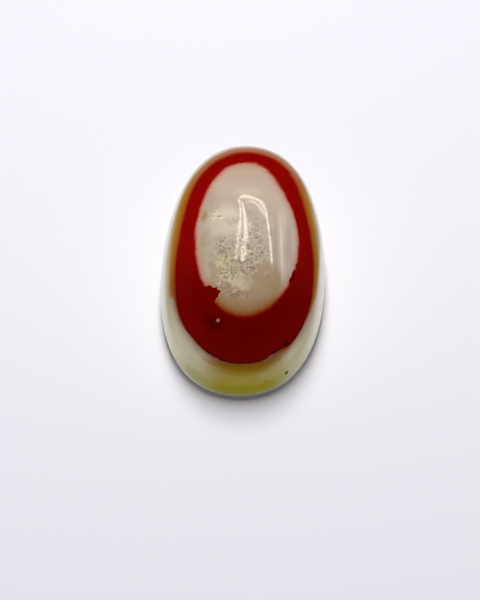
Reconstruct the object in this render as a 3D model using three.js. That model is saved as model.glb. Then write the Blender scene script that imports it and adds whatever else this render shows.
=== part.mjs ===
// A sulemani agate: one oval, high-domed stone, cut and polished from a single piece of banded agate.
// Millimetres, +Z up, +Y along the length of the oval. The origin is the centre of the flat base.
import * as THREE from "three";

// Size of the stone
const LENGTH = 18; // along Y
const WIDTH = 10.8; // along X
const HEIGHT = 8.1; // from the flat base to the top of the dome

// Form of the stone
const GIRDLE_HEIGHT = 0.85; // the widest line, where the dome meets the rounded edge of the base
const EDGE_INSET = 0.3; // the flat base is smaller than the widest line by this, all round
const DOME_FULLNESS = 0.045; // how far the dome's sides swell past an ellipse, as a share of its size
const SHOULDER = 0.018; // how far the oval's four shoulders swell past an ellipse
const EGG = 0.022; // the near end of the oval is broader, and the far end narrower, by this share
const LEAN = 0.042; // the dome leans towards the far end, +Y, by this share of the height

// Fineness of the faceted surface
const SEGMENTS = 112; // round the oval
const EDGE_STEPS = 6; // up the rounded edge
const DOME_STEPS = 34; // from the widest line to the top

const QUARTER = Math.PI / 2;

// One point of the stone's skin. turn goes round the oval from +X towards +Y. climb is -QUARTER at the
// rim of the flat base, 0 at the widest line and QUARTER at the top of the dome.
function skinPoint(turn, climb) {
  const onDome = climb >= 0;
  const swell = onDome ? DOME_FULLNESS * Math.sin(2 * climb) ** 2 : 0;
  const share = onDome ? Math.cos(climb) + swell : 1;
  const inset = onDome ? 0 : EDGE_INSET * (1 - Math.cos(climb));
  const z = onDome
    ? GIRDLE_HEIGHT + (HEIGHT - GIRDLE_HEIGHT) * (Math.sin(climb) + swell)
    : GIRDLE_HEIGHT * (1 + Math.sin(climb));

  const shoulder = 1 + SHOULDER * (1 - Math.cos(4 * turn));
  const across = Math.cos(turn) * shoulder;
  const along = Math.sin(turn) * shoulder;
  const x = ((WIDTH / 2) * share - inset) * across * (1 - EGG * along);
  const y = ((LENGTH / 2) * share - inset) * along + LEAN * z;
  return new THREE.Vector3(x, y, z);
}

// The climb angles of the rings, from the rim of the flat base up to the last ring under the top.
function ringClimbs() {
  const climbs = [];
  for (let i = 0; i < EDGE_STEPS; i++) climbs.push(-QUARTER * (1 - i / EDGE_STEPS));
  for (let i = 0; i < DOME_STEPS; i++) climbs.push(QUARTER * (i / DOME_STEPS));
  return climbs;
}

// The closed skin: a fan of triangles over the flat base, bands between the rings, and a fan at the top.
function stoneGeometry() {
  const climbs = ringClimbs();
  const points = [];
  for (const climb of climbs) {
    for (let i = 0; i < SEGMENTS; i++) points.push(skinPoint((2 * Math.PI * i) / SEGMENTS, climb));
  }
  const baseCentre = points.push(new THREE.Vector3(0, 0, 0)) - 1;
  const top = points.push(skinPoint(0, QUARTER)) - 1;

  const triangles = [];
  const lastRing = (climbs.length - 1) * SEGMENTS;
  for (let i = 0; i < SEGMENTS; i++) {
    const next = (i + 1) % SEGMENTS;
    triangles.push(baseCentre, next, i);
    for (let ring = 0; ring < lastRing; ring += SEGMENTS) {
      const above = ring + SEGMENTS;
      triangles.push(ring + i, ring + next, above + next);
      triangles.push(ring + i, above + next, above + i);
    }
    triangles.push(lastRing + i, lastRing + next, top);
  }

  const geometry = new THREE.BufferGeometry().setFromPoints(points);
  geometry.setIndex(triangles);
  geometry.computeVertexNormals();
  return geometry;
}

// Polished agate. Its layers differ only in colour, so the solid has one colour: the wide red band's.
function agateMaterial() {
  return new THREE.MeshStandardMaterial({ color: 0x780403, roughness: 0.12, metalness: 0 });
}

const stone = new THREE.Mesh(stoneGeometry(), agateMaterial());
stone.name = "agate_stone";

const part = new THREE.Group();
part.add(stone);

export default part;
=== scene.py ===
# %% [markdown]
# A sulemani agate, dressed in Blender.
# The object is one loose stone: an oval, high-domed cabochon, ground and polished by hand from a single
# piece of banded agate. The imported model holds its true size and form. This lesson gives it a smooth
# skin, the colours of its layers, a polish, and a plain pale studio to lie in.

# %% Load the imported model
import math

import bpy
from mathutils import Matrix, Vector


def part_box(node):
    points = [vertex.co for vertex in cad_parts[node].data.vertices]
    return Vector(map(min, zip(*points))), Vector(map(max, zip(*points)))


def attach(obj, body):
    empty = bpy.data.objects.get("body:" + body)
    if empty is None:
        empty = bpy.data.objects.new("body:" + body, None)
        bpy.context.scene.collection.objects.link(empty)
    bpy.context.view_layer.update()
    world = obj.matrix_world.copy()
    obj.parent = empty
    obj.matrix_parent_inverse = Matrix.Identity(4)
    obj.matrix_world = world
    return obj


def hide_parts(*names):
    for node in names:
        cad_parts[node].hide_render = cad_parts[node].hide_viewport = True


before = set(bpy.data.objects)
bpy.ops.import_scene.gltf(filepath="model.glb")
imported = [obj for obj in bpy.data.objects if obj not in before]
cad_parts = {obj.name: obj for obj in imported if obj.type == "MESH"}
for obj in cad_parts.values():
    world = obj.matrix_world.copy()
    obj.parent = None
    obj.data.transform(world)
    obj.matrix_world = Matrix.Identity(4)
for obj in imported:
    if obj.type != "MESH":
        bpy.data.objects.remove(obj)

MM = 0.001
scene = bpy.context.scene
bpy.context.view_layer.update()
stone_low, stone_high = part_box("agate_stone")
stone_size = Vector(stone_high) - Vector(stone_low)
print("nodes:", sorted(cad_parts), "size in mm:", [round(v / MM, 2) for v in stone_size])

# %% [markdown]
# Every node tree below is built by one helper. It adds a node, sets the node's own settings, and gives
# each input either a plain value or a link. Writing trees in code keeps every size in sight, which a
# drawn tree doesn't.

# %% The helper that adds a node
def add_node(tree, kind, inputs=None, **settings):
    """Adds a node; inputs maps a socket's name or number to a value or to another node's output."""
    node = tree.nodes.new(kind)
    for name, value in settings.items():
        setattr(node, name, value)
    for socket, value in (inputs or {}).items():
        if isinstance(value, bpy.types.NodeSocket):
            tree.links.new(value, node.inputs[socket])
        else:
            node.inputs[socket].default_value = value
    return node


def linear(hex_colour):
    """An sRGB colour such as #7a0403 as the linear red, green, blue and alpha that Blender works in."""
    channels = [int(hex_colour[i : i + 2], 16) / 255 for i in (1, 3, 5)]
    return [c / 12.92 if c <= 0.04045 else ((c + 0.055) / 1.055) ** 2.4 for c in channels] + [1.0]


OXBLOOD = "#900602"
print("oxblood red, linear:", [round(c, 3) for c in linear(OXBLOOD)])

# %% [markdown]
# The stone's form follows a rule, so Geometry Nodes make it. A flat grid is wrapped round: its columns go
# round the oval, and its rows run from the middle of the flat base, round the softened edge, up to the
# top of the dome. A sculpted mesh would look as good, but its sizes couldn't be read or changed. The
# numbers are the ones that the solid was made with, so this skin lies on the solid.

# %% The sizes of the stone
STONE = {
    "Length": stone_size.y,
    "Width": stone_size.x,
    "Height": stone_size.z,
    "Girdle Height": 0.85 * MM,
    "Edge Inset": 0.3 * MM,
    "Dome Fullness": 0.045,
    "Shoulder": 0.018,
    "Egg": 0.022,
    "Lean": 0.042,
    "Unevenness": 0.016 * MM,
    "Uneven Every": 2.6 * MM,
}
COLUMNS = 320
BASE_ROWS, EDGE_ROWS, DOME_ROWS = 8, 24, 170
ROWS = BASE_ROWS + EDGE_ROWS + DOME_ROWS
WELD = 0.0002 * MM
print("grid:", COLUMNS, "columns,", ROWS, "rows,", 2 * COLUMNS * ROWS, "triangles")

# %% The wrapped grid
form = bpy.data.node_groups.new("cut_cabochon", "GeometryNodeTree")
for name, size in STONE.items():
    form.interface.new_socket(name, in_out="INPUT", socket_type="NodeSocketFloat").default_value = size
form.interface.new_socket("Finish", in_out="INPUT", socket_type="NodeSocketMaterial")
form.interface.new_socket("Stone", in_out="OUTPUT", socket_type="NodeSocketGeometry")
given = add_node(form, "NodeGroupInput").outputs

grid = add_node(form, "GeometryNodeMeshGrid", {"Size X": math.tau, "Size Y": ROWS,
                                                "Vertices X": COLUMNS + 1, "Vertices Y": ROWS + 1})
place = add_node(form, "GeometryNodeInputPosition").outputs["Position"]
flat = add_node(form, "ShaderNodeSeparateXYZ", {"Vector": place}).outputs
known = {name: given[name] for name in STONE}
known["turn"] = flat["X"]
first_row = -ROWS / 2
for name, start, rows, low, high in (
    ("spread", 0, BASE_ROWS, 0.0, 1.0),
    ("edge", BASE_ROWS, EDGE_ROWS, -math.pi / 2, 0.0),
    ("dome", BASE_ROWS + EDGE_ROWS, DOME_ROWS, 0.0, math.pi / 2),
):
    known[name] = add_node(form, "ShaderNodeMapRange", {
        "Value": flat["Y"], "From Min": first_row + start, "From Max": first_row + start + rows,
        "To Min": low, "To Max": high}).outputs["Result"]
print("angles:", [name for name in known if name not in STONE])

# %% [markdown]
# The rule itself is a list of small sums. Each line is one Math node: the name of its result, what it
# does, and what it does it to. Up the dome the skin follows an ellipse that swells a little, and the
# swell is nothing at the girdle and at the top. Round the oval, four shoulders stand out slightly, one
# end is a little broader, and the whole dome leans a little, as hand-ground stones do.

# %% The rule of the form
RULE = [
    ("double", "MULTIPLY", "dome", 2),
    ("ripple", "SINE", "double"),
    ("ripple squared", "MULTIPLY", "ripple", "ripple"),
    ("swell", "MULTIPLY", "ripple squared", "Dome Fullness"),
    ("dome cosine", "COSINE", "dome"),
    ("share", "ADD", "dome cosine", "swell"),
    ("dome sine", "SINE", "dome"),
    ("rise", "ADD", "dome sine", "swell"),
    ("dome height", "SUBTRACT", "Height", "Girdle Height"),
    ("edge sine", "SINE", "edge"),
    ("edge rise", "MULTIPLY_ADD", "edge sine", "Girdle Height", "Girdle Height"),
    ("z", "MULTIPLY_ADD", "rise", "dome height", "edge rise"),
    ("edge cosine", "COSINE", "edge"),
    ("edge round", "SUBTRACT", 1, "edge cosine"),
    ("inset", "MULTIPLY", "edge round", "Edge Inset"),
    ("four turns", "MULTIPLY", "turn", 4),
    ("four cosine", "COSINE", "four turns"),
    ("four round", "SUBTRACT", 1, "four cosine"),
    ("shouldered", "MULTIPLY_ADD", "four round", "Shoulder", 1),
    ("turn cosine", "COSINE", "turn"),
    ("across", "MULTIPLY", "turn cosine", "shouldered"),
    ("turn sine", "SINE", "turn"),
    ("along", "MULTIPLY", "turn sine", "shouldered"),
    ("taper", "MULTIPLY", "along", "Egg"),
    ("egg", "SUBTRACT", 1, "taper"),
    ("half width", "MULTIPLY", "Width", 0.5),
    ("wide", "MULTIPLY", "half width", "share"),
    ("wide inset", "SUBTRACT", "wide", "inset"),
    ("oval x", "MULTIPLY", "wide inset", "across"),
    ("egg x", "MULTIPLY", "oval x", "egg"),
    ("x", "MULTIPLY", "egg x", "spread"),
    ("half length", "MULTIPLY", "Length", 0.5),
    ("long", "MULTIPLY", "half length", "share"),
    ("long inset", "SUBTRACT", "long", "inset"),
    ("oval y", "MULTIPLY", "long inset", "along"),
    ("leaning y", "MULTIPLY_ADD", "z", "Lean", "oval y"),
    ("y", "MULTIPLY", "leaning y", "spread"),
    ("wave scale", "DIVIDE", 1, "Uneven Every"),
]
for result, operation, *operands in RULE:
    sockets = {i: known.get(operand, operand) for i, operand in enumerate(operands)}
    known[result] = add_node(form, "ShaderNodeMath", sockets, operation=operation).outputs[0]
print(len(RULE), "sums in the rule")

# %% [markdown]
# A stone held to the wheel by hand is never quite true. Waves of about a hundredth of a millimetre
# can't be seen in the outline, but they bend every reflection, and that is how the eye tells a hand
# polish from a moulded dome. They are pushed into the mesh along its normals, and fade out at the base.

# %% The skin as a mesh
wrapped = add_node(form, "ShaderNodeCombineXYZ", {"X": known["x"], "Y": known["y"], "Z": known["z"]})
skin = add_node(form, "GeometryNodeSetPosition",
                {"Geometry": grid.outputs["Mesh"], "Position": wrapped.outputs["Vector"]})
welded = add_node(form, "GeometryNodeMergeByDistance",
                  {"Geometry": skin.outputs["Geometry"], "Distance": WELD})
waves = add_node(form, "ShaderNodeTexNoise", {"Scale": known["wave scale"], "Detail": 1.0, "Vector": place})
wave = add_node(form, "ShaderNodeMath", {0: waves.outputs["Fac"], 1: 0.5}, operation="SUBTRACT")
above = add_node(form, "ShaderNodeSeparateXYZ", {"Vector": place}).outputs["Z"]
size = add_node(form, "ShaderNodeMapRange", {"Value": above, "From Max": known["Girdle Height"],
                                             "To Max": known["Unevenness"]})
push = add_node(form, "ShaderNodeMath", {0: wave.outputs[0], 1: size.outputs["Result"]},
                operation="MULTIPLY")
normal = add_node(form, "GeometryNodeInputNormal").outputs["Normal"]
offset = add_node(form, "ShaderNodeVectorMath", {0: normal, "Scale": push.outputs[0]}, operation="SCALE")
waved = add_node(form, "GeometryNodeSetPosition",
                 {"Geometry": welded.outputs["Geometry"], "Offset": offset.outputs["Vector"]})
smooth = add_node(form, "GeometryNodeSetShadeSmooth", {"Geometry": waved.outputs["Geometry"]})
whole = add_node(form, "GeometryNodeRealizeInstances", {"Geometry": smooth.outputs["Geometry"]})
dressed = add_node(form, "GeometryNodeSetMaterial",
                   {"Geometry": whole.outputs["Geometry"], "Material": given["Finish"]})
add_node(form, "NodeGroupOutput", {"Stone": dressed.outputs["Geometry"]})
print(len(form.nodes), "nodes in the form")

# %% [markdown]
# The tree is put on an empty mesh as a modifier. Its inputs are set by their identifiers, and the
# result is kept as a plain mesh, because a plain mesh is what another program can open.

# %% Make the stone
def mesh_from_tree(name, tree, sizes):
    """Runs a Geometry Nodes tree once and returns an object that holds the plain mesh it made."""
    piece = bpy.data.objects.new(name, bpy.data.meshes.new(name))
    scene.collection.objects.link(piece)
    modifier = piece.modifiers.new(name, "NODES")
    modifier.node_group = tree
    for item in tree.interface.items_tree:
        if item.in_out == "INPUT" and item.name in sizes:
            modifier[item.identifier] = sizes[item.name]
    bpy.context.view_layer.update()
    evaluated = piece.evaluated_get(bpy.context.evaluated_depsgraph_get())
    made = bpy.data.meshes.new_from_object(evaluated)
    piece.modifiers.clear()
    piece.data = made
    return piece


agate = bpy.data.materials.new("banded_chalcedony_hand_polished")
stone = mesh_from_tree("agate_cabochon", form, {**STONE, "Finish": agate})
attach(stone, "root")
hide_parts("agate_stone")
print("stone:", len(stone.data.vertices), "vertices,", len(stone.data.polygons), "faces")
print("size in mm:", [round(v / MM, 3) for v in stone.dimensions])

# %% [markdown]
# Agate is chalcedony, laid down in layers, so its colour depends on where a point is in the stone and
# not on the surface that was cut later. The material does the same: it asks how high a point lies above
# each layer. The layers dip towards the near end, so their height is drawn as a curve along the length.
# A painted picture wrapped round the stone would be the other way, but it would stretch over the dome.

# %% Places in the stone, in millimetres
agate.use_nodes = True
tree = agate.node_tree
tree.nodes.clear()
object_place = add_node(tree, "ShaderNodeTexCoord").outputs["Object"]
in_mm = add_node(tree, "ShaderNodeVectorMath", {0: object_place, "Scale": 1 / MM}, operation="SCALE")
spot = in_mm.outputs["Vector"]
axes = add_node(tree, "ShaderNodeSeparateXYZ", {"Vector": spot}).outputs
known = {"x": axes["X"], "y": axes["Y"], "z": axes["Z"]}
HALF_WIDTH = stone_size.x / MM / 2
HALF_LENGTH = stone_size.y / MM / 2
HEIGHT = stone_size.z / MM
NOISES = [  # name, size of its features in mm, detail, roughness
    ("cloud noise", 2.2, 3.0, 0.5),
    ("drift noise", 1.1, 4.0, 0.55),
    ("wisp noise", 0.55, 3.0, 0.5),
    ("fine noise", 0.34, 3.0, 0.6),
]
for name, feature, detail, rough in NOISES:
    known[name] = add_node(tree, "ShaderNodeTexNoise", {
        "Vector": spot, "Scale": 1 / feature, "Detail": detail, "Roughness": rough}).outputs["Fac"]
RAGGED_SIZE, RAGGED_BY = 0.24, 0.4  # mm across each tooth of a ragged edge, and how far it reaches
teeth = add_node(tree, "ShaderNodeTexNoise", {"Vector": spot, "Scale": 1 / RAGGED_SIZE, "Detail": 2.0})
tooth = add_node(tree, "ShaderNodeVectorMath", {0: teeth.outputs["Color"], 1: (0.5, 0.5, 0.5)},
                 operation="SUBTRACT").outputs["Vector"]
ragged = add_node(tree, "ShaderNodeVectorMath", {0: tooth, 1: (RAGGED_BY,) * 3, 2: spot},
                  operation="MULTIPLY_ADD").outputs["Vector"]
print("noises:", [f"{name} {feature} mm" for name, feature, _, _ in NOISES])

# %% The lower faces of the brown line and of the red layer
LAYER_SLANT = -0.26  # the layers rise towards -X by this share
ALONG_FROM, ALONG_TO = -9.5, 9.5
BROWN_FLOOR = [(-9.5, 2.95), (-7.0, 3.35), (-5.5, 3.82), (-4.4, 3.96), (-3.0, 4.34), (-1.0, 5.05),
               (1.0, 5.6), (4.0, 6.0), (6.2, 6.5), (9.5, 7.2)]
RED_FLOOR = [(-9.5, 3.25), (-8.0, 3.42), (-6.5, 3.8), (-5.0, 4.36), (-3.0, 5.24), (-1.0, 6.02), (1.0, 6.53),
             (4.0, 6.86), (5.8, 7.16), (9.5, 7.7)]
along = add_node(tree, "ShaderNodeVectorMath", {0: spot, 1: (LAYER_SLANT, 1.0, 0.0)},
                 operation="DOT_PRODUCT").outputs["Value"]
share_along = add_node(tree, "ShaderNodeMapRange", {"Value": along, "From Min": ALONG_FROM,
                                                    "From Max": ALONG_TO}).outputs["Result"]
for name, floor in (("brown floor", BROWN_FLOOR), ("red floor", RED_FLOOR)):
    lengthwise = add_node(tree, "ShaderNodeFloatCurve", {"Value": share_along})
    points = lengthwise.mapping.curves[0].points
    while len(points) < len(floor):
        points.new(0.5, 0.5)
    for point, (y, z) in zip(points, floor):
        point.location = ((y - ALONG_FROM) / (ALONG_TO - ALONG_FROM), z / HEIGHT)
    lengthwise.mapping.update()
    known[name + " share"] = lengthwise.outputs["Value"]
print("layers slant by", round(math.degrees(math.atan(LAYER_SLANT)), 1), "degrees across the stone")
print("red begins", RED_FLOOR[0][1], "mm up at the near end,", RED_FLOOR[-2][1], "mm up at the far end")

# %% [markdown]
# Heights above each layer are small sums again. The grey eye is the topmost layer, and its lower face is
# nearly flat, with a few slow waves round the oval. All the edges wander by a few hundredths of a
# millimetre, because the bands of an agate grew round uneven crystals. In two bays at the near end the
# lower layers bend up by about a quarter of a millimetre, as they do on the real stone.

# %% How high a point lies above each layer
EDGE_DRIFT, FINE_DRIFT = 0.2, 0.1  # mm that a layer's edge wanders, slowly and in small steps
EYE_DRIFT = 0.9  # share of that wandering that the eye's edge has
END_SLANT = -0.12  # the olive near end reaches further back on the right, by this share of x
EYE_HEIGHT, EYE_SLOPE_X, EYE_SLOPE_Y = 7.054, -0.052, 0.125
EYE_WAVES = [(2, 0.146, 18.0), (4, 0.054, 36.0), (5, 0.03, 18.0)]  # waves a turn, mm high, crest at
BAYS = [  # where the layers bend up a little: name, centre in mm, radius in mm, mm higher
    ("bay at the near left", (-2.55, -7.5, 3.75), 2.1, 0.24),
    ("bay at the near right", (2.45, -7.55, 3.6), 1.3, 0.24),
]
known["bend"] = 0.0
for name, centre, radius, higher in BAYS:
    gap = add_node(tree, "ShaderNodeVectorMath", {0: spot, 1: centre}, operation="DISTANCE")
    bay = add_node(tree, "ShaderNodeMapRange", {
        "Value": gap.outputs["Value"], "From Min": 0.0, "From Max": radius, "To Min": higher, "To Max": 0.0},
        interpolation_type="SMOOTHSTEP")
    known["bend"] = add_node(tree, "ShaderNodeMath", {0: known["bend"], 1: bay.outputs["Result"]},
                             operation="ADD").outputs[0]
SUMS = [
    ("slow drift", "MULTIPLY_ADD", "drift noise", EDGE_DRIFT, -EDGE_DRIFT / 2),
    ("small drift", "MULTIPLY_ADD", "fine noise", FINE_DRIFT, -FINE_DRIFT / 2),
    ("drift", "ADD", "slow drift", "small drift"),
    ("unbent z", "SUBTRACT", "z", "bend"),
    ("drifted z", "ADD", "unbent z", "drift"),
    ("brown floor", "MULTIPLY", "brown floor share", HEIGHT),
    ("red floor", "MULTIPLY", "red floor share", HEIGHT),
    ("line thickness", "SUBTRACT", "red floor", "brown floor"),
    ("above brown", "SUBTRACT", "drifted z", "brown floor"),
    ("above red", "SUBTRACT", "drifted z", "red floor"),
    ("line share", "DIVIDE", "above brown", "line thickness"),
    ("upright y", "MULTIPLY_ADD", "z", -STONE["Lean"], "y"),
    ("side share", "DIVIDE", "x", HALF_WIDTH),
    ("end share", "DIVIDE", "upright y", HALF_LENGTH),
    ("turn", "ARCTAN2", "end share", "side share"),
    ("slanting y", "MULTIPLY_ADD", "x", END_SLANT, "y"),
    ("eye x", "MULTIPLY_ADD", "x", EYE_SLOPE_X, EYE_HEIGHT),
    ("eye floor 0", "MULTIPLY_ADD", "y", EYE_SLOPE_Y, "eye x"),
]
for i, (count, size, crest) in enumerate(EYE_WAVES):
    SUMS += [
        (f"eye turns {i}", "MULTIPLY_ADD", "turn", count, -count * math.radians(crest)),
        (f"eye wave {i}", "COSINE", f"eye turns {i}"),
        (f"eye floor {i + 1}", "MULTIPLY_ADD", f"eye wave {i}", size, f"eye floor {i}"),
    ]
SUMS += [
    ("over the eye floor", "SUBTRACT", "z", f"eye floor {len(EYE_WAVES)}"),
    ("above eye", "MULTIPLY_ADD", "drift", EYE_DRIFT, "over the eye floor"),
]
for result, operation, *operands in SUMS:
    sockets = {i: known.get(operand, operand) for i, operand in enumerate(operands)}
    known[result] = add_node(tree, "ShaderNodeMath", sockets, operation=operation).outputs[0]
print(len(SUMS), "sums,", len(EYE_WAVES), "waves round the eye")

# %% [markdown]
# The red breaks into the eye in a few places. Each break is a small region that lowers the point's
# height above the eye's floor, so the red's edge bends round it. The regions are measured from a place
# that noise has shaken, which makes their edges ragged, as a fracture is.

# %% Breaks in the edge of the eye
BREAKS = [  # name, centre in mm, radius in mm
    ("bite at the near left", (-2.02, -5.52, 6.6), 0.46),
    ("tip of that bite", (-1.50, -5.53, 6.73), 0.31),
    ("heel of that bite", (-1.86, -5.85, 6.45), 0.34),
    ("chip at the right", (3.52, -3.7, 6.3), 0.34),
    ("second chip at the right", (3.34, -4.15, 6.3), 0.26),
    ("nick at the far end", (-0.29, 4.62, 7.52), 0.14),
]
BREAK_DEPTH, BREAK_EDGE = 0.5, 0.2
for name, centre, radius in BREAKS:
    gap = add_node(tree, "ShaderNodeVectorMath", {0: ragged, 1: centre}, operation="DISTANCE")
    hole = add_node(tree, "ShaderNodeMapRange", {
        "Value": gap.outputs["Value"], "From Min": radius * (1 - BREAK_EDGE),
        "From Max": radius * (1 + BREAK_EDGE), "To Min": BREAK_DEPTH, "To Max": 0.0},
        interpolation_type="SMOOTHSTEP")
    known["above eye"] = add_node(tree, "ShaderNodeMath", {0: known["above eye"], 1: hole.outputs["Result"]},
                                  operation="SUBTRACT").outputs[0]
print(len(BREAKS), "breaks, the widest", 2 * max(radius for _, _, radius in BREAKS), "mm")

# %% [markdown]
# Each part of the stone has its colours in a list of stops: where the stop is, its colour, and how much
# it covers what lies under it. From the side the lowest layer is milky. At the near end light sinks
# deeper and comes back olive and honey yellow. Over it lie a thin brown line, the oxblood red, and the
# grey of the eye, which ends in a blush of the red under it.

# %% Colours by height and by place
GRADIENTS = {  # name: (what it is read by, stops)
    "milky side": ("z", [(0.0, "#b0ac90", 1), (0.35, "#c6c298", 1), (0.8, "#d6d2a6", 1), (1.6, "#e0dcac", 1),
                         (2.4, "#e6deb2", 1), (3.2, "#eadeba", 1), (4.2, "#faeed0", 1), (6.0, "#ecdcc8", 1)]),
    "milky end": ("z", [(0.0, "#8f825c", 1), (0.3, "#a39a66", 1), (0.62, "#b6a830", 1), (1.1, "#b8aa08", 1),
                        (1.6, "#c6b446", 1), (2.1, "#cab052", 1), (2.5, "#bc9c20", 1), (2.85, "#aa8e00", 1),
                        (3.15, "#bc820a", 1), (3.4, "#b25210", 1)]),
    "line": ("line share", [(-1.3, "#ecdcb8", 0), (-0.6, "#e4cca0", 0.4), (-0.25, "#d8b474", 0.9),
                            (0.0, "#c89440", 1), (0.3, "#be7c2c", 1), (0.52, "#b86c22", 1),
                            (0.7, "#b25a16", 1), (0.86, "#a0340a", 1), (0.96, "#98160a", 1),
                            (1.0, OXBLOOD, 1)]),
    "line at the near end": ("line share", [(-1.3, "#a07800", 0), (0.75, "#8c4c04", 0), (0.93, "#881c04", 1),
                                            (1.0, OXBLOOD, 1)]),
    "tan line": ("line share", [(-1.3, "#ece0b8", 0), (-0.4, "#ece0b8", 0.1), (0.15, "#e6cca8", 0.5),
                                (0.5, "#dcb292", 1), (0.68, "#c07c5c", 1), (0.84, "#6c2408", 1),
                                (0.94, "#700c04", 1), (1.0, OXBLOOD, 1)]),
    "pink line": ("line share", [(-1.3, "#f0dcc6", 0), (-0.5, "#e6c8b0", 0.4), (-0.15, "#d2aa8e", 0.9),
                                 (0.0, "#ba8a66", 1), (0.48, "#b87452", 1), (0.72, "#ae5a38", 1),
                                 (0.82, "#a03a20", 1), (1.0, OXBLOOD, 1)]),
    # Painted shade: the red just under the eye is darkened, and this is laid only over the near half.
    "shaded red under the eye": ("above eye", [(-3.4, "#8a0400", 0), (-2.4, "#820200", 0.6),
                                        (-1.2, "#7c0200", 0.9), (-0.5, "#740200", 1),
                                        (0.1, "#740400", 1)]),
    "dark edge": ("above red", [(-0.09, "#2c0a00", 0), (-0.02, "#2c0a00", 0.8), (0.03, "#2c0400", 0.8),
                                (0.12, "#500200", 0)]),
    "eye": ("y", [(-6.7, "#aa865c", 1), (-6.0, "#b0926f", 1), (-5.2, "#b49a7c", 1), (-4.3, "#baa486", 1),
                  (-3.0, "#c0b199", 1), (-1.6, "#c6b8a2", 1), (0.0, "#c6b5a0", 1), (2.0, "#cab69f", 1),
                  (3.7, "#c4ac94", 1), (4.6, "#b6906c", 1)]),
    "blush": ("above eye", [(-0.05, "#890602", 0), (0.0, "#8c0c06", 1), (0.045, "#a84030", 1),
                            (0.1, "#c07c6a", 1), (0.17, "#c89a86", 0.75), (0.34, "#c8a890", 0)]),
    "glow": ("above eye", [(-0.05, "#800400", 0), (0.0, "#880c02", 1), (0.06, "#98400c", 1),
                           (0.15, "#a3683a", 1), (0.28, "#a87c4c", 0.8), (0.5, "#ac8c66", 0)]),
}
looks = {}
for name, (read_by, stops) in GRADIENTS.items():
    low, high = stops[0][0], stops[-1][0]
    share = add_node(tree, "ShaderNodeMapRange", {"Value": known[read_by], "From Min": low, "From Max": high})
    colours = add_node(tree, "ShaderNodeValToRGB", {"Fac": share.outputs["Result"]})
    elements = colours.color_ramp.elements
    while len(elements) < len(stops):
        elements.new(1.0)
    for element, (where, colour, cover) in zip(elements, stops):
        element.position = (where - low) / (high - low)
        element.color = linear(colour)[:3] + [cover]
    looks[name] = colours.outputs
print({name: len(stops) for name, (_, stops) in GRADIENTS.items()})

# %% [markdown]
# Even the milky part was laid down in bands. A sine wave of the depth under the brown line draws them,
# and noise bends them, so that no two run alike. A second, broader wave keeps them from being regular.

# %% Faint bands in the milky layer
FINE_BAND, FINE_BEND = 1.552, 0.85  # mm from band to band, and bands by which the noise shifts them
BROAD_BAND, BROAD_BEND = 2.639, 1.432
BROAD_SHARE = 0.6  # how strong the broad bands are beside the fine ones
BAND_SUMS = [
    ("fine place", "DIVIDE", "above brown", FINE_BAND),
    ("fine bent", "MULTIPLY_ADD", "drift noise", FINE_BEND, "fine place"),
    ("fine angle", "MULTIPLY", "fine bent", math.tau),
    ("fine wave", "SINE", "fine angle"),
    ("broad place", "DIVIDE", "above brown", BROAD_BAND),
    ("broad bent", "MULTIPLY_ADD", "cloud noise", BROAD_BEND, "broad place"),
    ("broad angle", "MULTIPLY", "broad bent", math.tau),
    ("broad wave", "SINE", "broad angle"),
    ("bands", "MULTIPLY_ADD", "broad wave", BROAD_SHARE, "fine wave"),
]
for result, operation, *operands in BAND_SUMS:
    sockets = {i: known.get(operand, operand) for i, operand in enumerate(operands)}
    known[result] = add_node(tree, "ShaderNodeMath", sockets, operation=operation).outputs[0]
print("bands every", FINE_BAND, "mm and every", BROAD_BAND, "mm")

# %% [markdown]
# Many looks hold only in places: at one end, above one layer, or where a noise is strong. Each reach
# turns such a measure into a share from 0 to 1, and the covers multiply the shares together.

# %% Where each look holds
REACHES = {  # name: (what it is read by, 0 here, 1 here)
    "near end": ("slanting y", -7.55, -8.8),
    "near half": ("y", -2.0, -5.5),
    "far end": ("y", 2.4, 5.6),
    "broken": ("fine noise", 0.40, 0.52),
    "eye's near end": ("y", -4.4, -5.9),
    "in the eye": ("above eye", 0.03, 0.07),
    "clouds": ("cloud noise", 0.38, 0.66),
    "pale bands": ("bands", 0.2, 1.5),
    "dim bands": ("bands", -0.2, -1.5),
    "in the red": ("line share", 0.98, 1.1),
    "blotches": ("drift noise", 0.46, 0.62),
    "pale wisps": ("wisp noise", 0.50, 0.78),
    "dusky wisps": ("wisp noise", 0.50, 0.24),
    "pale mottles": ("fine noise", 0.50, 0.68),
    "dusky mottles": ("fine noise", 0.48, 0.30),
}
for name, (read_by, none, whole) in REACHES.items():
    known[name] = add_node(tree, "ShaderNodeMapRange", {
        "Value": known[read_by], "From Min": none, "From Max": whole},
        interpolation_type="SMOOTHSTEP").outputs["Result"]
HAZE, PALE_BANDS, DIM_BANDS, BLOTCHES = 0.22, 0.35, 0.3, 0.3  # the most that each one covers
COVERS = [
    # Painted shade: the red is darkened over the near half of the stone, just under the eye.
    ("painted shade on the near red", "MULTIPLY", looks["shaded red under the eye"]["Alpha"], "near half"),
    ("dark edge near", "MULTIPLY", looks["dark edge"]["Alpha"], "near half"),
    ("dark edge broken", "MULTIPLY", "dark edge near", "broken"),
    ("glow at the near end", "MULTIPLY", looks["glow"]["Alpha"], "eye's near end"),
    ("away from the near end", "SUBTRACT", 1, "near end"),
    ("side clouds", "MULTIPLY", "clouds", "away from the near end"),
    ("haze", "MULTIPLY", "side clouds", HAZE),
    ("pale band cover", "MULTIPLY", "pale bands", PALE_BANDS),
    ("dim band cover", "MULTIPLY", "dim bands", DIM_BANDS),
    ("red blotches", "MULTIPLY", "blotches", BLOTCHES),
    ("red cover", "MULTIPLY", "red blotches", "in the red"),
]
for result, operation, *operands in COVERS:
    sockets = {i: known.get(operand, operand) for i, operand in enumerate(operands)}
    known[result] = add_node(tree, "ShaderNodeMath", sockets, operation=operation).outputs[0]
print(len(REACHES), "reaches,", len(COVERS), "covers")

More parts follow.
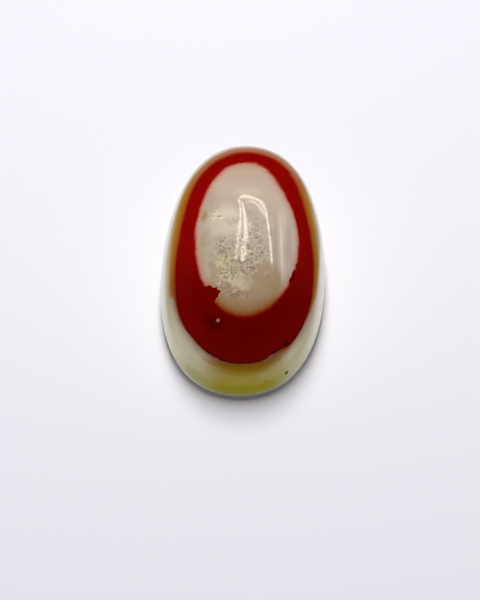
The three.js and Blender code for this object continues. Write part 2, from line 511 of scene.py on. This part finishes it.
# %% [markdown]
# The layers are laid one over another from below, each with its own cover. Then the patches: an agate's
# milky parts are never even, and a few soft spots of other colours tell the eye that it looks into a
# real stone. Each patch is an ellipsoid with a ragged, soft edge, and it is centred by a Mapping node.

# %% The helpers that lay colours and patches
def blob(centre, half_sizes, turned, softness, cover=1.0, measured=ragged):
    """How much of a patch is here: cover inside an ellipsoid given in mm, 0 outside it."""
    local = add_node(tree, "ShaderNodeMapping", {
        "Vector": measured, "Location": centre, "Rotation": (0, 0, math.radians(turned)),
        "Scale": half_sizes}, vector_type="TEXTURE")
    away = add_node(tree, "ShaderNodeVectorMath", {0: local.outputs["Vector"]}, operation="LENGTH")
    return add_node(tree, "ShaderNodeMapRange", {
        "Value": away.outputs["Value"], "From Min": 1 - softness, "From Max": 1 + softness,
        "To Min": cover, "To Max": 0.0}, interpolation_type="SMOOTHSTEP").outputs["Result"]


def lay(under, layers):
    """Lays colours one over another. Each layer is a colour and the share of what is under it it hides."""
    for over, cover in layers:
        under = add_node(tree, "ShaderNodeMix", {"Factor": cover, 6: under, 7: over},
                         data_type="RGBA").outputs[2]
    return under


def patch_layers(patches, measured=ragged):
    """A layer for each patch: its name, centre, half sizes, turn in degrees, softness, colour, cover."""
    return [(linear(colour), blob(centre, half_sizes, turned, softness, cover, measured))
            for _, centre, half_sizes, turned, softness, colour, cover in patches]


# %% The milky body, the line and the red
BODY_PATCHES = [
    ("green haze low on the left", (-2.8, -7.9, 1.2), (1.1, 1.2, 0.55), 0, 0.6, "#b2b258", 0.55),
    ("green haze on the right", (2.3, -8.0, 3.0), (0.6, 0.6, 0.26), 0, 0.5, "#8e8c18", 0.6),
    ("orange under the rim", (2.5, -7.6, 3.05), (0.8, 0.5, 0.24), 0, 0.5, "#b88620", 0.6),
    ("cloud on the left flank", (-4.6, -4.5, 2.0), (1.0, 1.6, 0.5), 0, 0.7, "#d8d6b6", 0.4),
    ("cloud on the far side", (1.5, 8.2, 2.4), (2.8, 1.4, 0.6), 0, 0.9, "#d4cba2", 0.5),
    ("honey on the far side", (-2.2, 8.0, 3.8), (1.6, 1.2, 0.6), 0, 0.7, "#c8ac6c", 0.5),
    ("pale flank at the near left", (-4.1, -6.5, 2.2), (1.2, 1.7, 1.1), 0, 0.7, "#f8f4cc", 0.75),
    ("olive under the red", (0.3, -8.5, 3.02), (2.5, 0.9, 0.26), 0, 0.4, "#b48c02", 0.8),
    ("beige at the near right", (2.1, -8.4, 1.95), (0.8, 0.6, 0.5), 0, 0.7, "#d8ca8a", 0.4),
    ("honey under the line at the right", (5.2, 0.6, 4.5), (0.7, 2.4, 0.4), 0, 0.6, "#c09a6c", 0.6),
    ("pink cast on the right flank", (5.1, -2.6, 2.0), (0.8, 2.0, 1.2), 0, 0.7, "#ecd6ca", 0.55),
    ("green speck", (3.13, -7.66, 1.30), (0.17, 0.16, 0.13), 0, 0.4, "#4c6c0c", 1.0),
    ("brown speck", (1.81, -8.55, 1.46), (0.10, 0.10, 0.08), 0, 0.4, "#8a6410", 0.8),
    ("pale speck", (2.57, -8.15, 1.07), (0.07, 0.10, 0.05), 0, 0.4, "#e8e0a0", 0.8),
]
TAN_PLACES = [  # where the line is tan: centre and half sizes in mm, softness
    ((-3.1, -7.0, 3.5), (1.9, 1.7, 0.9), 0.5),
    ((4.1, -6.2, 3.5), (0.9, 1.4, 0.8), 0.5),
    ((-4.3, -5.2, 4.2), (0.8, 0.9, 0.6), 0.5),
]
tan_here = 0.0
for centre, half_sizes, softness in TAN_PLACES:
    tan_here = add_node(tree, "ShaderNodeMath", {0: tan_here, 1: blob(centre, half_sizes, 0, softness)},
                        operation="MAXIMUM").outputs[0]
RED_PATCHES = [
    ("dark cloud in the red", (-1.55, -7.05, 5.5), (0.65, 0.50, 0.40), 0, 0.7, "#4c0000", 0.6),
    ("pale fleck in the red", (-1.24, -6.95, 5.71), (0.10, 0.10, 0.08), 0, 0.5, "#d09488", 0.65),
    ("dark knot at the red's edge", (3.08, -7.15, 3.72), (0.16, 0.20, 0.12), 0, 0.5, "#240400", 0.8),
    ("second dark knot", (2.28, -7.79, 3.62), (0.16, 0.20, 0.10), 0, 0.5, "#240400", 0.7),
    ("dark chip", (3.26, -3.72, 6.5), (0.24, 0.26, 0.18), 0, 0.5, "#300604", 0.75),
    ("second dark chip", (3.14, -4.14, 6.45), (0.20, 0.20, 0.16), 0, 0.5, "#300604", 0.75),
    ("dark specks at the far end", (-0.7, 5.2, 7.28), (0.40, 0.14, 0.10), 0, 0.5, "#5a1008", 0.6),
]
HAZE_TONE, PALE_BAND_TONE, DIM_BAND_TONE, BLOTCH_TONE = "#d2cca8", "#f4efd8", "#bcb884", "#7c0200"
line_colour = looks["line"]["Color"]
line_cover = looks["line"]["Alpha"]
for name, cover in (("pink line", known["far end"]), ("tan line", tan_here),
                    ("line at the near end", known["near end"])):
    line_colour = lay(line_colour, [(looks[name]["Color"], cover)])
    line_cover = add_node(tree, "ShaderNodeMix", {"Factor": cover, 2: line_cover, 3: looks[name]["Alpha"]},
                          data_type="FLOAT").outputs[0]
colour = lay(looks["milky side"]["Color"], [
    (linear(HAZE_TONE), known["haze"]),
    (linear(PALE_BAND_TONE), known["pale band cover"]),
    (linear(DIM_BAND_TONE), known["dim band cover"]),
    (looks["milky end"]["Color"], known["near end"]),
    *patch_layers(BODY_PATCHES),
    (line_colour, line_cover),
    (looks["shaded red under the eye"]["Color"], known["painted shade on the near red"]),
    (linear(BLOTCH_TONE), known["red cover"]),
    (looks["dark edge"]["Color"], known["dark edge broken"]),
    *patch_layers(RED_PATCHES),
])
print(len(BODY_PATCHES), "patches in the milky body,", len(RED_PATCHES), "in the red")

# %% [markdown]
# The eye has four things of its own: soft fields of cream, mauve and tan; milky wisps over them; streaks
# at the right, silky ones where the fibres of chalcedony lie side by side and one pale streak among them;
# and a mottled zone of fine grey specks, which are tiny cavities and crystals between the fibres. The real
# specks are about 0.1 to 0.2 mm wide, and are drawn so. The zone's mottling is made first, and the specks
# lie on it.

# %% The fields of the eye
EYE_PATCHES = [
    ("yellow tint at the left", (-2.6, 0.0, 7.55), (0.3, 0.5, 0.3), 0, 0.6, "#a88444", 0.9),
    ("dusky top left", (-2.2, 1.1, 7.65), (0.6, 0.9, 0.4), 0, 0.7, "#b59c84", 0.6),
    ("cream field", (-1.15, -0.85, 7.95), (0.95, 1.05, 0.4), 0, 0.7, "#dccdb2", 0.75),
    ("cream corner", (-0.95, -0.1, 8.0), (0.62, 0.42, 0.3), -20, 0.8, "#e4d6be", 0.7),
    ("cream near the bar", (-0.45, -1.25, 8.0), (0.5, 0.5, 0.3), 0, 0.8, "#e0d2ba", 0.6),
    ("grey below the cream", (-1.35, -2.5, 7.75), (0.45, 0.6, 0.4), 0, 0.8, "#b8a88e", 0.6),
    ("mauve middle", (0.85, -0.6, 8.0), (0.7, 1.1, 0.4), 0, 0.6, "#cab6a9", 0.8),
    ("tan below the middle", (1.45, -4.5, 7.2), (0.9, 0.9, 0.6), 0, 0.6, "#b29878", 0.8),
    ("tan at the near right", (2.35, -4.6, 6.9), (0.6, 0.9, 0.5), 0, 0.8, "#aa8a62", 0.6),
    ("green cast at the near left", (-1.1, -4.1, 7.4), (0.75, 0.8, 0.5), 0, 0.7, "#d0c494", 0.8),
    ("cream tongue", (-0.3, -4.9, 7.15), (1.0, 0.42, 0.4), -26, 0.4, "#d8c4a2", 0.9),
    ("pale streak at the left", (-1.98, -3.75, 7.25), (0.28, 1.0, 0.5), 14, 0.7, "#d8c8ae", 0.85),
    ("dusky left edge", (-2.45, -2.2, 7.4), (0.4, 1.6, 0.5), 0, 0.7, "#ac967a", 0.6),
    ("pink at the right", (2.5, -0.1, 7.55), (0.32, 0.8, 0.5), 0, 0.6, "#dcc0a4", 0.8),
    ("mauve at the right edge", (3.05, -2.3, 7.05), (0.36, 1.9, 0.6), 3, 0.6, "#ccb4a8", 0.8),
    ("dusky near left", (-1.8, -4.1, 7.3), (0.28, 0.9, 0.5), 10, 0.8, "#a68c74", 0.8),
]
SILK_PATCHES = [
    ("broad silk", (2.46, -1.6, 7.5), (0.34, 1.9, 0.5), 3, 0.8, "#d6c6b2", 0.6),
    ("grey furrow", (2.2, -2.4, 7.5), (0.2, 1.9, 0.5), 3, 0.7, "#b3a28e", 0.8),
    # A narrow pale streak runs down the right of the eye.
    ("pale streak at the right", (2.55, -2.4, 7.2), (0.09, 2.1, 0.6), 4, 0.9, "#e8dac8", 0.9),
    ("second silk", (2.80, -3.6, 6.95), (0.10, 1.0, 0.5), 6, 0.9, "#d6c4b0", 0.7),
]
SILK_WIDTH, SILK_LENGTH = 0.26, 3.4  # mm across and along a strand
SILK_TURN = math.radians(4)
silk_place = add_node(tree, "ShaderNodeMapping", {
    "Vector": spot, "Rotation": (0, 0, SILK_TURN), "Scale": (SILK_WIDTH, SILK_LENGTH, SILK_LENGTH)},
    vector_type="TEXTURE").outputs["Vector"]
silk = add_node(tree, "ShaderNodeTexNoise",
                {"Vector": silk_place, "Scale": 1.0, "Detail": 2.0}).outputs["Fac"]
silk_zone = blob((2.6, -2.0, 7.2), (0.95, 2.9, 0.9), 3, 0.3)
silk_layers = []
for tone, none, whole, cover in (("#d8cabb", 0.50, 0.70, 0.45), ("#a89684", 0.48, 0.30, 0.35)):
    strand = add_node(tree, "ShaderNodeMapRange", {"Value": silk, "From Min": none, "From Max": whole,
                                                   "To Max": cover}).outputs["Result"]
    zoned = add_node(tree, "ShaderNodeMath", {0: strand, 1: silk_zone}, operation="MULTIPLY").outputs[0]
    silk_layers.append((linear(tone), zoned))
wisp_zone = blob((0.1, -2.4, 7.6), (2.7, 3.7, 1.6), 0, 0.3)
wisp_layers = []
for tone, wisps, cover in (("#dccfb9", "pale wisps", 0.5), ("#a39278", "dusky wisps", 0.45)):
    share = add_node(tree, "ShaderNodeMath", {0: known[wisps], 1: cover}, operation="MULTIPLY").outputs[0]
    zoned = add_node(tree, "ShaderNodeMath", {0: share, 1: wisp_zone}, operation="MULTIPLY").outputs[0]
    wisp_layers.append((linear(tone), zoned))
print(len(EYE_PATCHES) + len(SILK_PATCHES), "fields, silk strands", SILK_WIDTH, "mm wide")

# %% The specks of the eye
ZONES = {  # name: (centre, half sizes in mm, turned by, softness, cover) of its parts
    "dense": [((0.45, -2.75, 7.75), (1.25, 1.35, 0.6), 0, 0.5, 1.0),
              ((-1.1, -2.85, 7.7), (0.6, 0.85, 0.5), 0, 0.5, 0.9),
              ((0.2, -4.0, 7.5), (1.1, 0.6, 0.5), -12, 0.6, 0.7),
              ((-0.75, -4.3, 7.3), (0.85, 0.5, 0.5), -24, 0.5, 0.8),
              ((-0.6, -5.45, 6.95), (1.1, 0.38, 0.45), -18, 0.5, 1.0),
              ((0.6, -0.8, 8.0), (0.7, 1.1, 0.4), 0, 0.6, 0.5)],
    "cluster": [((-1.72, -0.25, 7.85), (0.46, 0.36, 0.3), -25, 0.5, 1.0)],
}
zones = {}
for name, parts in ZONES.items():
    zone = 0.0
    for part in parts:
        zone = add_node(tree, "ShaderNodeMath", {0: zone, 1: blob(*part)}, operation="MAXIMUM").outputs[0]
    zones[name] = zone
CLUMPING, THINNEST = 0.6, 0.62  # how the specks gather: fewest between the clumps, most in them
clumped = add_node(tree, "ShaderNodeMath", {0: known["blotches"], 1: CLUMPING, 2: THINNEST},
                   operation="MULTIPLY_ADD").outputs[0]
zones["dense"] = add_node(tree, "ShaderNodeMath", {0: zones["dense"], 1: clumped},
                          operation="MULTIPLY", use_clamp=True).outputs[0]
SPECKS = [  # name, its zone, mm from one to the next, its radius in mm, share of places taken, colour, cover
    ("pale grains", "dense", 0.25, 0.105, 0.60, "#e0d2b6", 0.60),
    ("large dark grains", "dense", 0.36, 0.115, 0.55, "#76684e", 0.75),
    ("dark grains", "dense", 0.20, 0.074, 0.65, "#6e6048", 0.80),
    ("small dark grains", "dense", 0.14, 0.050, 0.65, "#6c5e48", 0.65),
    ("pink grains", "cluster", 0.24, 0.10, 0.45, "#d8a698", 0.75),
    ("white grains", "cluster", 0.19, 0.085, 0.55, "#f4eada", 0.80),
    ("dark gaps", "cluster", 0.21, 0.050, 0.45, "#8c7664", 0.75),
]
speck_layers = []
for tone, mottles, cover in (("#dccfba", "pale mottles", 0.65), ("#8c7c62", "dusky mottles", 0.4)):
    share = add_node(tree, "ShaderNodeMath", {0: known[mottles], 1: cover}, operation="MULTIPLY").outputs[0]
    zoned = add_node(tree, "ShaderNodeMath", {0: share, 1: zones["dense"]}, operation="MULTIPLY").outputs[0]
    speck_layers.append((linear(tone), zoned))
pits = 0.0
for i, (name, zone_name, apart, radius, share, tone, cover) in enumerate(SPECKS):
    grown_from = add_node(tree, "ShaderNodeVectorMath", {0: spot, 1: (i, 2 * i, 3 * i)}, operation="ADD")
    cells = add_node(tree, "ShaderNodeTexVoronoi", {"Vector": grown_from.outputs["Vector"],
                                                    "Scale": 1 / apart}).outputs
    chance = add_node(tree, "ShaderNodeSeparateColor", {"Color": cells["Color"]}).outputs["Red"]
    taken = add_node(tree, "ShaderNodeMath", {0: chance, 1: share}, operation="LESS_THAN").outputs[0]
    dot = add_node(tree, "ShaderNodeMapRange", {
        "Value": cells["Distance"], "From Min": radius / apart * 1.5, "From Max": radius / apart * 0.5,
        "To Max": cover}, interpolation_type="SMOOTHSTEP").outputs["Result"]
    here = add_node(tree, "ShaderNodeMath", {0: dot, 1: taken}, operation="MULTIPLY").outputs[0]
    zoned = add_node(tree, "ShaderNodeMath", {0: here, 1: zones[zone_name]}, operation="MULTIPLY").outputs[0]
    speck_layers.append((linear(tone), zoned))
    pits = add_node(tree, "ShaderNodeMath", {0: pits, 1: zoned}, operation="MAXIMUM").outputs[0]
CLUSTER = [
    ("white grain", (-1.62, -0.12, 7.88), (0.10, 0.10, 0.1), 0, 0.5, "#f4ead6", 0.9),
    ("second white grain", (-1.42, -0.46, 7.92), (0.09, 0.13, 0.1), 0, 0.5, "#f0e4d0", 0.9),
    ("dark gap", (-1.52, -0.30, 7.9), (0.06, 0.09, 0.1), 0, 0.5, "#8a7464", 0.7),
]
print(len(SPECKS), "sorts of specks in", len(ZONES), "zones")

# %% The eye on the stone
EDGE_SPECKS = [
    ("dark speck by the chip", (3.54, -2.97, 6.5), (0.12, 0.12, 0.12), 0, 0.5, "#30100a", 0.9),
]
eye_colour = lay(looks["eye"]["Color"], [
    *patch_layers(EYE_PATCHES),
    *wisp_layers,
    *patch_layers(SILK_PATCHES, spot),
    *silk_layers,
    *speck_layers,
    *patch_layers(CLUSTER),
])
colour = lay(colour, [
    (eye_colour, known["in the eye"]),
    (looks["blush"]["Color"], looks["blush"]["Alpha"]),
    (looks["glow"]["Color"], known["glow at the near end"]),
    *patch_layers(EDGE_SPECKS),
])
print(len(tree.nodes), "nodes so far")

# %% [markdown]
# Chalcedony takes a glassy polish, with an index of refraction of 1.54. The dome was buffed last and
# longest, so it is the smoothest. The polish fades towards the girdle, and the base was only sawn and
# ground, so it is dull and shows fine scratches. Tiny pits are left where the specks reach the skin.

# %% The polish
POLISH = [(0.0, 0.5), (0.06, 0.34), (1.2, 0.17), (4.0, 0.085), (8.1, 0.07)]  # height in mm, roughness
POLISH_TOP = POLISH[-1][0]
up = add_node(tree, "ShaderNodeMapRange", {"Value": known["z"], "From Max": POLISH_TOP}).outputs["Result"]
polish = add_node(tree, "ShaderNodeFloatCurve", {"Value": up})
points = polish.mapping.curves[0].points
while len(points) < len(POLISH):
    points.new(0.5, 0.5)
for point, (z, rough) in zip(points, POLISH):
    point.location = (z / POLISH_TOP, rough)
    point.handle_type = "VECTOR"
polish.mapping.update()
SMEAR = 0.05  # how much the roughness varies over the skin
smear = add_node(tree, "ShaderNodeMath", {0: known["drift noise"], 1: SMEAR, 2: -SMEAR / 2},
                 operation="MULTIPLY_ADD").outputs[0]
roughness = add_node(tree, "ShaderNodeMath", {0: polish.outputs["Value"], 1: smear},
                     operation="ADD", use_clamp=True).outputs[0]
PIT_DEPTH, WAVE_DEPTH, SCRATCH_DEPTH = -0.0014, 0.0006, 0.02  # mm
SCRATCH_EVERY = 0.12  # mm; the real scratches are finer still, and are drawn this coarse to show
on_base = add_node(tree, "ShaderNodeMapRange", {"Value": known["z"], "From Min": 0.03, "From Max": 0.0})
scratches = add_node(tree, "ShaderNodeTexWave", {"Vector": spot, "Scale": 1 / (SCRATCH_EVERY * math.tau),
                                                 "Distortion": 1.5, "Detail": 2.0, "Detail Scale": 1.2})
scored = add_node(tree, "ShaderNodeMath", {0: scratches.outputs["Fac"], 1: on_base.outputs["Result"]},
                  operation="MULTIPLY").outputs[0]
relief = 0.0
for part, depth in ((pits, PIT_DEPTH), (known["fine noise"], WAVE_DEPTH), (scored, SCRATCH_DEPTH)):
    relief = add_node(tree, "ShaderNodeMath", {0: part, 1: depth, 2: relief},
                      operation="MULTIPLY_ADD").outputs[0]
bump = add_node(tree, "ShaderNodeBump", {"Strength": 1.0, "Distance": MM, "Height": relief})
print("roughness from", min(r for _, r in POLISH), "on the dome to", max(r for _, r in POLISH), "on the base")

# %% The finished material
shader = add_node(tree, "ShaderNodeBsdfPrincipled", {
    "Base Color": colour, "Roughness": roughness, "IOR": 1.54, "Normal": bump.outputs["Normal"]})
add_node(tree, "ShaderNodeOutputMaterial", {"Surface": shader.outputs["BSDF"]})
print(len(tree.nodes), "nodes in the material")

# %% [markdown]
# The studio is plain: a pale floor, a large soft light above and behind the stone, and a faint light
# from all round. The polish would mirror a white floor too strongly on the steep sides, so the floor
# itself isn't mirrored. A card just under it is, and it is lit only in soft pools round the stone,
# because what the flanks mirror falls away quickly there.

# %% The floor
FLOOR_GAP = 0.02 * MM
FLOOR_SIZE = 1600 * MM
CARD_GAP = 0.06 * MM
CARD_ACROSS, CARD_ALONG = 32 * MM, 64 * MM
paper = bpy.data.materials.new("matt_white_paper")
paper.use_nodes = True
paper_shader = paper.node_tree.nodes["Principled BSDF"].inputs
paper_shader["Base Color"].default_value = linear("#f6f5f9")
paper_shader["Roughness"].default_value = 0.9
paper_shader["Specular IOR Level"].default_value = 0.0
mirrored_grey = bpy.data.materials.new("mirrored_grey_card")


def glowing(material, colour, brightness):
    """Turns a material into a plain light source of a colour and a brightness, 1 being a white page."""
    material.use_nodes = True
    material.node_tree.nodes.clear()
    glow = add_node(material.node_tree, "ShaderNodeEmission",
                    {"Color": linear(colour), "Strength": brightness})
    add_node(material.node_tree, "ShaderNodeOutputMaterial", {"Surface": glow.outputs["Emission"]})
    return glow


def stage_mesh(name, corners, faces, material):
    """A flat mesh that belongs to the studio and not to the stone."""
    mesh = bpy.data.meshes.new(name)
    mesh.from_pydata(corners, [], faces)
    mesh.materials.append(material)
    piece = bpy.data.objects.new(name, mesh)
    scene.collection.objects.link(piece)
    return piece


def only_in_gloss(piece):
    """Hides a piece from everything but mirror images in a polish."""
    piece.visible_camera = False
    piece.visible_diffuse = False
    piece.visible_shadow = False


def oblong(across, along, z):
    """The four corners of a level oblong, centred over the origin."""
    return [(across / 2 * x, along / 2 * y, z) for x, y in ((-1, -1), (1, -1), (1, 1), (-1, 1))]


floor = stage_mesh("floor", oblong(FLOOR_SIZE, FLOOR_SIZE, -FLOOR_GAP), [(0, 1, 2, 3)], paper)
floor.visible_glossy = False
card = stage_mesh("grey_card", oblong(CARD_ACROSS, CARD_ALONG, -CARD_GAP), [(0, 1, 2, 3)], mirrored_grey)
only_in_gloss(card)
glow = glowing(mirrored_grey, "#fbfaff", 0.0)
card_place = add_node(mirrored_grey.node_tree, "ShaderNodeTexCoord").outputs["Object"]
POOLS = [  # centre and half sizes in mm, full up to this many half sizes, none from this many, brightness
    ((0.0, 2.0, 0.0), (5.7, 8.2, 1.0), 1.2, 1.48, 0.92),
    ((-0.6, 6.5, 0.0), (5.2, 7.0, 1.0), 1.35, 1.65, 0.84),
    ((0.0, 20.0, 0.0), (9.0, 9.0, 1.0), 0.8, 1.2, 0.22),
]
lit = 0.0
for centre, half_sizes, full, none, brightness in POOLS:
    local = add_node(mirrored_grey.node_tree, "ShaderNodeMapping", {
        "Vector": card_place, "Location": [v * MM for v in centre], "Scale": [v * MM for v in half_sizes]},
        vector_type="TEXTURE")
    away = add_node(mirrored_grey.node_tree, "ShaderNodeVectorMath", {0: local.outputs["Vector"]},
                    operation="LENGTH")
    pool = add_node(mirrored_grey.node_tree, "ShaderNodeMapRange", {
        "Value": away.outputs["Value"], "From Min": full, "From Max": none, "To Min": brightness,
        "To Max": 0.0}, interpolation_type="SMOOTHSTEP")
    lit = add_node(mirrored_grey.node_tree, "ShaderNodeMath", {0: lit, 1: pool.outputs["Result"]},
                   operation="MAXIMUM").outputs[0]
mirrored_grey.node_tree.links.new(lit, glow.inputs["Strength"])
print("floor:", FLOOR_SIZE / MM, "mm square")

# %% The lights
LIGHTS = [  # name, centre in mm, across and deep in mm, brightness (1 looks like a white page), shadows
    ("soft_window", (-5, 57, 168), 48, 115, 17.0, True),
    ("fill_left", (-130, -20, 21), 150, 40, 1.6, False),
    ("fill_right", (130, -20, 21), 150, 40, 1.3, False),
    ("fill_front", (0, -140, 50), 150, 60, 0.4, False),
]
for name, centre, across, deep, brightness, shadows in LIGHTS:
    lamp = bpy.data.lights.new(name, "AREA")
    lamp.shape = "RECTANGLE"
    lamp.size, lamp.size_y = across * MM, deep * MM
    lamp.energy = math.pi * lamp.size * lamp.size_y * brightness
    lamp.use_shadow = shadows
    holder = bpy.data.objects.new(name, lamp)
    holder.location = Vector(centre) * MM
    holder.rotation_euler = Vector(centre).to_track_quat("Z", "Y").to_euler()
    holder.visible_glossy = False
    scene.collection.objects.link(holder)
world = bpy.data.worlds.new("pale_room")
world.use_nodes = True
room = world.node_tree.nodes["Background"].inputs
room["Color"].default_value = linear("#d9d0ff")
room["Strength"].default_value = 0.09
world.cycles_visibility.glossy = False
scene.world = world

# %% [markdown]
# What shows a polish is what it mirrors. Here it is the thin bright frame of a window, two bars on the
# left, one on the right and a bent one at the far end. Each is a narrow glowing strip on a plane above
# the stone, seen by nothing but the gloss, so it draws a line and adds no light of its own.

# %% The window frame in the polish
FRAME_HEIGHT = 90.0
BARS = [  # name, brightness, then (x, y, width) in mm along the strip
    ("outer left bar", 8.0, [(-12.5, 81.0, 4.6), (-6.3, 62.0, 3.0), (-5.4, 48.0, 3.0), (-7.0, 26.0, 3.2),
                             (-8.6, 14.5, 3.8), (-9.0, 10.5, 3.8)]),
    ("inner left bar", 10.0, [(-5.9, 76.0, 2.7), (-1.0, 62.0, 3.5), (1.0, 48.0, 4.1), (1.9, 37.0, 4.0),
                             (0.9, 24.0, 4.8), (0.5, 9.5, 4.8)]),
    ("far bar", 9.0, [(-11.0, 83.6, 3.2), (-1.9, 86.5, 5.9), (15.6, 83.4, 4.6), (27.6, 80.0, 4.9),
                      (42.5, 74.0, 4.3)]),
    ("inner far bar", 7.0, [(0.4, 76.2, 2.7), (12.4, 76.9, 3.2), (23.6, 74.0, 3.8), (38.5, 69.5, 3.8)]),
    ("right bar", 10.5, [(39.2, 73.0, 4.1), (44.0, 59.9, 4.3), (47.4, 45.5, 4.3), (52.4, 30.5, 5.4),
                        (60.5, 15.5, 6.8)]),
    ("catch", 6.0, [(1.4, 47.4, 2.2), (10.2, 48.8, 2.2)]),
    ("far haze", 1.4, [(-26.0, 93.0, 7.0), (3.0, 97.5, 11.0), (32.0, 97.5, 7.0)]),
]
for name, brightness, stops in BARS:
    low_side, high_side = [], []
    for i, (x, y, width) in enumerate(stops):
        before, after = stops[max(i - 1, 0)], stops[min(i + 1, len(stops) - 1)]
        run = Vector((after[0] - before[0], after[1] - before[1])).normalized()
        for side, sign in ((low_side, -1), (high_side, 1)):
            side.append((MM * (x - sign * run.y * width / 2), MM * (y + sign * run.x * width / 2),
                         MM * FRAME_HEIGHT))
    count = len(stops)
    faces = [(i, i + 1, count + i + 1, count + i) for i in range(count - 1)]
    lit = bpy.data.materials.new("lit_" + name.replace(" ", "_"))
    glowing(lit, "#fff4e6", brightness)
    only_in_gloss(stage_mesh(name.replace(" ", "_"), low_side + high_side, faces, lit))
print(len(BARS), "strips at", FRAME_HEIGHT, "mm")

# %% The camera
CAMERA_SIDE, CAMERA_RISE = 2.55, 52.0  # degrees round from the near end, and above the floor
CAMERA_DISTANCE = 162 * MM
LENS = 147.2
LOOKED_AT = Vector((0, 0, 1.8)) * MM
AIM = Vector((-0.14, -1.41, 0.6)) * MM
side_angle, rise_angle = math.radians(CAMERA_SIDE), math.radians(CAMERA_RISE)
back = Vector((math.sin(side_angle) * math.cos(rise_angle), -math.cos(side_angle) * math.cos(rise_angle),
               math.sin(rise_angle)))
camera = bpy.data.objects.new("camera", bpy.data.cameras.new("camera"))
camera.data.lens = LENS
camera.data.clip_start = 1 * MM
camera.location = LOOKED_AT + back * CAMERA_DISTANCE
camera.rotation_euler = (camera.location - AIM).to_track_quat("Z", "Y").to_euler()
scene.collection.objects.link(camera)
scene.camera = camera
scene.view_settings.view_transform = "Standard"
print("camera at, in mm:", [round(v / MM, 1) for v in camera.location])
